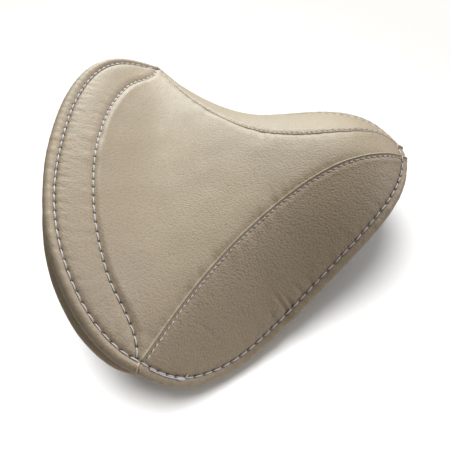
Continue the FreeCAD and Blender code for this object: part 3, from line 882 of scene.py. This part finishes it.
def opening_radius(direction, half_side=79, corner=20):
    """Distance from the middle to a rounded square, in each direction."""
    c, s = np.abs(np.cos(direction)), np.abs(np.sin(direction))
    flat = half_side / np.maximum(c, s)
    inner = half_side - corner
    b = inner * (c + s)
    rounded = b + np.sqrt(np.maximum(b ** 2 - 2 * inner ** 2 + corner ** 2, 0))
    return np.where((flat * c > inner) & (flat * s > inner), rounded, flat)


def dust_cover_piece():
    """The cloth ring under the shell, drawn tight between its staples, and its flat area in square metres."""
    edge = outline(lambda fall: wall_foot(fall) - DUST_INSET)
    direction = np.arctan2(edge[:, 1], edge[:, 0])
    opening = opening_radius(direction)[:, None] * np.c_[np.cos(direction), np.sin(direction)]
    shares = np.linspace(0, 1, 22)
    plan = opening[:, None] + (edge - opening)[:, None] * shares[None, :, None]
    x, y = plan[..., 0], plan[..., 1]
    walked = arc_length(np.vstack([edge, edge[:1]]))[:-1]
    pull = 0.25 * (1 - np.cos(2 * math.pi * walked / DUST_STAPLE_SPACING))[:, None] * shares ** 3
    upper = shell_height(x, y) - 6.25 - pull - 0.2 * (1 + smooth_field(x, y, 61, 12, (15, 50)))
    above, below = np.dstack([plan, upper]), np.dstack([plan, upper - 0.5])
    whole = np.concatenate([above, below[:, ::-1], above[:, :1]], axis=1)
    piece = grid_mesh("dust_cloth_ring", whole, {}, close=True)
    weld_and_face_out(piece)
    around = np.roll(above, -1, axis=0)
    areas = [np.linalg.norm(np.cross(a, b), axis=-1).sum() / 2 for a, b in
             ((around[:, :-1] - above[:, :-1], above[:, 1:] - above[:, :-1]),
              (around[:, :-1] - around[:, 1:], above[:, 1:] - around[:, 1:]))]
    return piece, sum(areas) * MM ** 2


wadding = pad_piece("wadding_sheet", outline(lambda fall: -2.5), lambda x, y: soft_height(x, y) - 1.9,
                    lambda x, y: soft_height(x, y) - 8.6, 3.2, 0.25, 71)
foam_pad = pad_piece("foam_pad", outline(lambda fall: np.minimum(wall_foot(fall) - 2.5, 5.5)),
                     lambda x, y: soft_height(x, y) - 8.8, lambda x, y: shell_height(x, y) + 0.2,
                     2.4, 0.12, 81)
edge_filler = edge_filler_piece()
dust_cloth, dust_area = dust_cover_piece()


# ---------------------------------------------------------------- materials

class Tree:
    """A new material's node tree, with short ways to add nodes to it."""

    def __init__(self, name):
        self.material = bpy.data.materials.new(name)
        self.material.use_nodes = True
        self.nodes, self.links = self.material.node_tree.nodes, self.material.node_tree.links
        self.shader = self.nodes["Principled BSDF"]

    def place(self):
        return self.nodes.new("ShaderNodeTexCoord").outputs["Object"]

    def node(self, kind, **inputs):
        made = self.nodes.new(kind)
        for key, value in inputs.items():
            name = key.replace("_", " ")
            if name in made.inputs:
                made.inputs[name].default_value = value
            else:
                setattr(made, key, value)
        return made

    def noise(self, place, **inputs):
        made = self.node("ShaderNodeTexNoise", **inputs)
        self.links.new(place, made.inputs["Vector"])
        return made.outputs["Fac"]

    def feed(self, socket, value):
        """Sets a socket to a number or a colour, or links another socket to it."""
        if isinstance(value, (int, float)):
            socket.default_value = value
        elif isinstance(value, tuple):
            socket.default_value = value + (1,)
        else:
            self.links.new(value, socket)

    def maths(self, operation, *values, clamp=False):
        made = self.node("ShaderNodeMath", operation=operation, use_clamp=clamp)
        for socket, value in zip(made.inputs, values):
            self.feed(socket, value)
        return made.outputs[0]

    def blend(self, factor, a, b):
        made = self.node("ShaderNodeMix", data_type="RGBA")
        for number, value in ((0, factor), (6, a), (7, b)):
            self.feed(made.inputs[number], value)
        return made.outputs[2]

    def fact(self, name):
        return self.node("ShaderNodeAttribute", attribute_name=name).outputs["Fac"]

    def bell(self, square):
        """1 where a squared distance is 0, fading out as it grows."""
        return self.maths("POWER", 2.718, self.maths("MULTIPLY", square, -1.0))

    def near_line(self, name, width):
        """1 on a stitch line, fading to 0 at about twice the width away from it."""
        return self.bell(self.maths("POWER", self.maths("DIVIDE", self.fact(name), width), 2.0))

    def holes(self, line, pitch, offset, centre, size):
        """1 in the needle holes along a stitch line."""
        at = self.maths("DIVIDE", self.maths("SUBTRACT", self.fact(line + "_at"), offset), pitch)
        nearest = self.maths("SUBTRACT", at, self.maths("ROUND", at))
        along = self.maths("MULTIPLY", nearest, pitch)
        across = self.maths("SUBTRACT", self.fact(line + "_gap"), centre)
        square = self.maths("ADD", self.maths("POWER", along, 2.0), self.maths("POWER", across, 2.0))
        return self.maths("MULTIPLY", self.bell(self.maths("DIVIDE", square, size * size)), 1.6, clamp=True)

    def bump(self, height, strength, distance):
        made = self.node("ShaderNodeBump", Strength=strength, Distance=distance)
        self.links.new(height, made.inputs["Height"])
        self.links.new(made.outputs[0], self.shader.inputs["Normal"])

    def set(self, **inputs):
        """The shader's own values, each a number, a colour or a socket."""
        for key, value in inputs.items():
            self.feed(self.shader.inputs[key.replace("_", " ")], value)


LEATHER = (0.436, 0.346, 0.236)


def tinted(*shares):
    """The leather's colour times one share, or times a share for each of red, green and blue."""
    return tuple(c * k for c, k in zip(LEATHER, shares if len(shares) == 3 else shares * 3))


def pebbled_grain(tree, place):
    """Cells of about 1.7 mm, warped so that no two are alike: the distance from each cell's middle."""
    warp = tree.node("ShaderNodeTexNoise", Scale=260.0, Detail=2.0)
    tree.links.new(place, warp.inputs["Vector"])
    mixed = tree.node("ShaderNodeVectorMath", operation="MULTIPLY_ADD")
    tree.links.new(warp.outputs["Color"], mixed.inputs[0])
    mixed.inputs[1].default_value = (0.0011, 0.0011, 0.0011)
    tree.links.new(place, mixed.inputs[2])
    pebbles = tree.node("ShaderNodeTexVoronoi", Scale=560.0, feature="SMOOTH_F1")
    pebbles.inputs["Smoothness"].default_value = 0.35
    tree.links.new(mixed.outputs[0], pebbles.inputs["Vector"])
    return pebbles.outputs["Distance"]


def leather_height(tree, place, pebbles, big):
    """The grain's height: pebbles, fine pores and drawn-out wrinkles, all weaker on the centre panel."""
    fine = tree.noise(place, Scale=1500.0, Detail=3.0)
    stretch = tree.node("ShaderNodeMapping", Scale=(230, 700, 700))
    tree.links.new(place, stretch.inputs["Vector"])
    wrinkles = tree.noise(stretch.outputs[0], Scale=1.0, Detail=4.0, Roughness=0.55)
    height = tree.maths("ADD", tree.maths("MULTIPLY", pebbles, -0.85), tree.maths("MULTIPLY", fine, 0.14))
    on_top = tree.maths("LESS_THAN", tree.fact("seam_gap"), 0.0)
    wrinkling = tree.maths("ADD", tree.maths("MULTIPLY", on_top, 0.27), 0.08)
    height = tree.maths("ADD", height, tree.maths("MULTIPLY", wrinkles, wrinkling))
    height = tree.maths("ADD", height, tree.maths("MULTIPLY", big, 0.10))
    strength = tree.maths("SUBTRACT", 1.0, tree.maths("MULTIPLY", on_top, 0.48))
    return tree.maths("MULTIPLY", height, strength)


def needle_holes(tree):
    """1 in every needle hole of the border, the rear line and the seams, where the leather's colour is
    painted dark as shade and its bump sinks it.
    """
    border = tree.holes("border", PITCH, CORNER_ARC, 0.0, 1.05)
    rear = tree.holes("rear", PITCH, crescent_first, 0.0, 1.0)
    seam = tree.holes("seam", SEAM_STITCH_PITCH, 0.0, FLANGE, 0.5)
    return tree.maths("MAXIMUM", border, tree.maths("MAXIMUM", rear, seam))


def painted_crease_shade(tree):
    """Painted shade along the stitch lines and in the tuck under the roll, where the grooves fall into shade.
    """
    crease_shade = tree.maths("MAXIMUM", tree.near_line("border_gap", 1.2), tree.near_line("rear_gap", 0.9))
    crease_shade = tree.maths("MAXIMUM", crease_shade, tree.near_line("seam_gap", 0.4))
    return tree.maths("MAXIMUM", crease_shade, tree.near_line("tuck_gap", 1.3))


def leather_colour(tree, place, pebbles, crease_shade, dark):
    """Taupe, warmer in patches and darker between the pebbles, with a painted highlight on the seam's fold,
    painted shade along the stitch lines and the tuck, and painted shade in the needle holes.
    """
    cloud = tree.noise(place, Scale=14.0, Detail=3.0)
    colour = tree.blend(cloud, tinted(1.05, 1.01, 0.94), tinted(0.95, 0.97, 1.04))
    between = tree.maths("MULTIPLY", tree.maths("SUBTRACT", pebbles, 0.38, clamp=True), 0.55)
    colour = tree.blend(between, colour, tinted(0.55))
    # A painted highlight: the centre panel's raised fold at the seam is made lighter.
    fold = tree.maths("DIVIDE", tree.maths("ADD", tree.fact("seam_gap"), 0.95), 0.55)
    fold_highlight = tree.maths("MULTIPLY", tree.bell(tree.maths("POWER", fold, 2.0)), 0.8)
    colour = tree.blend(fold_highlight, colour, tinted(1.45))
    # Painted shade: the leather is darkened along the stitch lines and in the tuck under the roll.
    colour = tree.blend(tree.maths("MULTIPLY", crease_shade, 0.42), colour, tinted(0.42))
    # Painted shade: the needle holes are made near-black, standing in for the shade inside them.
    return tree.blend(tree.maths("MULTIPLY", dark, 0.85), colour, (0.02, 0.016, 0.013))


def leather_material():
    tree = Tree("cover_leather")
    place = tree.place()
    pebbles = pebbled_grain(tree, place)
    big = tree.noise(place, Scale=120.0, Detail=5.0, Roughness=0.6)
    height = leather_height(tree, place, pebbles, big)
    # The first mask is the needle holes; the second is painted shade along the stitch lines and the tuck.
    dark, crease_shade = needle_holes(tree), painted_crease_shade(tree)
    tree.bump(tree.maths("SUBTRACT", height, tree.maths("MULTIPLY", dark, 1.6)), 0.65, 0.0007)
    tree.set(Base_Color=leather_colour(tree, place, pebbles, crease_shade, dark),
             Roughness=tree.maths("ADD", tree.maths("MULTIPLY", big, 0.16), 0.48),
             Specular_IOR_Level=0.45, Sheen_Weight=0.09, Sheen_Roughness=0.5,
             Coat_Weight=0.05, Coat_Roughness=0.35)
    return tree.material


def thread_material():
    tree = Tree("thread")
    place = tree.place()
    fibres = tree.noise(place, Scale=1800.0, Detail=4.0)
    patches = tree.noise(place, Scale=60.0, Detail=2.0)
    colour = tree.blend(fibres, (0.60, 0.57, 0.59), (0.94, 0.91, 0.93))
    colour = tree.blend(tree.maths("MULTIPLY", patches, 0.4), colour, (0.70, 0.66, 0.66))
    tree.bump(fibres, 0.5, 0.0003)
    tree.set(Base_Color=colour, Roughness=0.62, Sheen_Weight=0.25)
    return tree.material


def textured_material(name, dark, light, scale, roughness, bump_height, metallic=0.0, stretch=(1, 1, 1)):
    """A surface mottled between two colours, with bumps of the same pattern and a finer one."""
    tree = Tree(name)
    place = tree.node("ShaderNodeMapping", Scale=stretch)
    tree.links.new(tree.place(), place.inputs["Vector"])
    coarse = tree.noise(place.outputs[0], Scale=scale, Detail=5.0, Roughness=0.6)
    cells = tree.node("ShaderNodeTexVoronoi", Scale=scale * 3)
    tree.links.new(place.outputs[0], cells.inputs["Vector"])
    height = tree.maths("ADD", coarse, tree.maths("MULTIPLY", cells.outputs["Distance"], 0.7))
    tree.bump(height, 0.6, bump_height)
    worn = tree.maths("ADD", tree.maths("MULTIPLY", coarse, 0.15), roughness - 0.07)
    tree.set(Base_Color=tree.blend(coarse, dark, light), Roughness=worn, Metallic=metallic)
    return tree.material


def paint_node(name, material):
    """Gives a CAD node a material of its own, without touching its mesh."""
    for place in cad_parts[name].material_slots:
        place.link = "OBJECT"
        place.material = material


leather, thread = leather_material(), thread_material()
foam_look = textured_material("foam", (0.62, 0.52, 0.30), (0.80, 0.71, 0.47), 420, 0.95, 0.0006)
wadding_look = textured_material("wadding", (0.70, 0.70, 0.68), (0.88, 0.88, 0.86), 150, 0.97, 0.0009,
                                 stretch=(1, 3, 3))
filler_look = textured_material("cord_filler", (0.50, 0.47, 0.41), (0.72, 0.69, 0.62), 500, 0.9, 0.0004)
dust_look = textured_material("dust_cloth", (0.022, 0.022, 0.023), (0.050, 0.050, 0.052), 700, 0.92, 0.0003,
                              stretch=(1, 2.5, 1))
shell_look = textured_material("shell_plastic", (0.035, 0.035, 0.037), (0.055, 0.055, 0.058), 900, 0.55,
                               0.0001)
steel_look = textured_material("staple_steel", (0.50, 0.51, 0.53), (0.66, 0.67, 0.69), 800, 0.32,
                               0.00005, 1.0)
brass_look = textured_material("insert_brass", (0.62, 0.45, 0.17), (0.78, 0.60, 0.28), 350, 0.30, 0.0001, 1.0)

PIECES = [
    (top_cover, leather, "cover_leather", ["top_panel"]),
    (left_cover, leather, "cover_leather", ["side_panel_left"]),
    (right_cover, leather, "cover_leather", ["side_panel_right"]),
    (border_thread, thread, "thread", ["border_stitching"]),
    (rear_thread, thread, "thread", ["rear_stitching"]),
    (left_thread, thread, "thread", ["seam_stitching_left"]),
    (right_thread, thread, "thread", ["seam_stitching_right"]),
    (tied_end, thread, "thread", ["thread_tail"]),
    (wadding, wadding_look, "wadding", ["comfort_layer"]),
    (foam_pad, foam_look, "foam", ["foam_core"]),
    (edge_filler, filler_look, "cord_filler", ["edge_cord"]),
    (dust_cloth, dust_look, "dust_cloth", ["dust_cover"]),
]
for piece, material, slot_name, stands_for in PIECES:
    piece.data.materials.append(material)
    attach(piece, "root")
    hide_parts(*stands_for)
span = np.ptp(outline(lambda fall: wall_foot(fall) - DUST_INSET), axis=0) * MM
paint_node("seat_shell", shell_look)
for name in ("cover_staples", "dust_cover_staples"):
    paint_node(name, steel_look)
for name in ("insert_front_left", "insert_front_right", "insert_rear_left", "insert_rear_right"):
    paint_node(name, brass_look)


# ---------------------------------------------------------------- floor, light and camera

def fade_out(tree):
    """The floor melts into the white backdrop away from the object, so that it has no horizon."""
    links = tree.links
    reach = tree.node("ShaderNodeVectorMath", operation="LENGTH")
    links.new(tree.place(), reach.inputs[0])
    share = tree.node("ShaderNodeMapRange", interpolation_type="SMOOTHSTEP", From_Min=0.26, From_Max=0.60)
    links.new(reach.outputs["Value"], share.inputs["Value"])
    mixed = tree.node("ShaderNodeMixShader")
    links.new(share.outputs["Result"], mixed.inputs["Fac"])
    links.new(tree.shader.outputs["BSDF"], mixed.inputs[1])
    links.new(tree.node("ShaderNodeBsdfTransparent").outputs["BSDF"], mixed.inputs[2])
    links.new(mixed.outputs["Shader"], tree.nodes["Material Output"].inputs["Surface"])


def floor_piece(z):
    reach = 1.6
    corners = [(x * reach, y * reach, z) for x, y in ((-1, -1), (1, -1), (1, 1), (-1, 1))]
    mesh = bpy.data.meshes.new("floor")
    mesh.from_pydata(corners, [], [(0, 1, 2, 3)])
    floor = bpy.data.objects.new("floor", mesh)
    bpy.context.collection.objects.link(floor)
    tree = Tree("floor_white")
    tree.set(Base_Color=(0.93, 0.93, 0.93), Roughness=0.9, Specular_IOR_Level=0.0)
    fade_out(tree)
    mesh.materials.append(tree.material)
    return floor


def area_light(name, place, aim, size, power, colour=(1, 1, 1)):
    data = bpy.data.lights.new(name, "AREA")
    data.shape = "DISK"
    data.size, data.energy, data.color = size, power, colour
    light = bpy.data.objects.new(name, data)
    light.location = place
    light.rotation_euler = (Vector(aim) - Vector(place)).to_track_quat("-Z", "Y").to_euler()
    bpy.context.collection.objects.link(light)
    return light


def photo_camera():
    """A camera aimed at the seat from its right and above. A fitting program made its numbers."""
    azimuth, elevation, roll = [math.radians(angle) for angle in (-10.62, 51.25, 9.57)]
    distance, lens, target = 500.4, 36.376, Vector((-0.6, -2.6, -6.3))
    back = Vector((math.sin(azimuth) * math.cos(elevation), -math.cos(azimuth) * math.cos(elevation),
                   math.sin(elevation)))
    right = (-back).cross(Vector((0, 0, 1))).normalized()
    up = right.cross(-back)
    turned_right = right * math.cos(roll) + up * math.sin(roll)
    turned_up = up * math.cos(roll) - right * math.sin(roll)
    data = bpy.data.cameras.new("camera")
    data.sensor_width = 36
    data.lens = lens
    data.clip_start, data.clip_end = 0.01, 50
    camera = bpy.data.objects.new("camera", data)
    camera.matrix_world = Matrix.Translation((target + back * distance) * MM) @ Matrix(
        (turned_right, turned_up, back)).transposed().to_4x4()
    bpy.context.collection.objects.link(camera)
    bpy.context.scene.camera = camera


def light_only(light, piece, state):
    """Makes a light reach only one piece (INCLUDE) or everything but that piece (EXCLUDE)."""
    group = bpy.data.collections.new(light.name + "_receivers")
    group.objects.link(piece)
    group.collection_objects[0].light_linking.link_state = state
    light.light_linking.receiver_collection = group


def studio_world(seen_level, lighting_level):
    """A white studio: bright where the camera sees it, and a dimmer light from above the horizon."""
    world = bpy.data.worlds.new("studio")
    bpy.context.scene.world = world
    world.use_nodes = True
    nodes, links = world.node_tree.nodes, world.node_tree.links
    backdrop = nodes["Background"]
    backdrop.inputs["Color"].default_value = (1, 0.985, 0.95, 1)
    parts = nodes.new("ShaderNodeSeparateXYZ")
    links.new(nodes.new("ShaderNodeTexCoord").outputs["Generated"], parts.inputs[0])
    lighting = nodes.new("ShaderNodeMapRange")
    for key, value in (("From Min", -0.1), ("From Max", 0.45), ("To Min", 0.28 * lighting_level),
                       ("To Max", lighting_level)):
        lighting.inputs[key].default_value = value
    links.new(parts.outputs["Z"], lighting.inputs["Value"])
    level = nodes.new("ShaderNodeMapRange")
    level.inputs["To Max"].default_value = seen_level
    links.new(nodes.new("ShaderNodeLightPath").outputs["Is Camera Ray"], level.inputs["Value"])
    links.new(lighting.outputs["Result"], level.inputs["To Min"])
    links.new(level.outputs["Result"], backdrop.inputs["Strength"])


floor = floor_piece(CAD_BOX[0][2])
floor.visible_glossy = False
key = area_light("key", (-0.10, 1.85, 0.85), (0, 0, 0.05), 1.2, 46, (0.975, 1.03, 0.99))
fill = area_light("fill", (1.35, 0.55, 1.40), (0, 0, 0.05), 1.2, 18, (1.0, 1.0, 1.08))
floor_light = area_light("floor_light", (-0.62, 0.0, 2.2), (0, 0, 0), 1.1, 52)
floor_fill = area_light("floor_fill", (0, 0.1, 2.5), (0, 0, 0), 4.0, 15)
for light, state in ((key, "EXCLUDE"), (fill, "EXCLUDE"), (floor_light, "INCLUDE"), (floor_fill, "INCLUDE")):
    light_only(light, floor, state)
studio_world(1.0, 0.275)
bpy.context.scene.view_settings.view_transform = "Standard"
photo_camera()
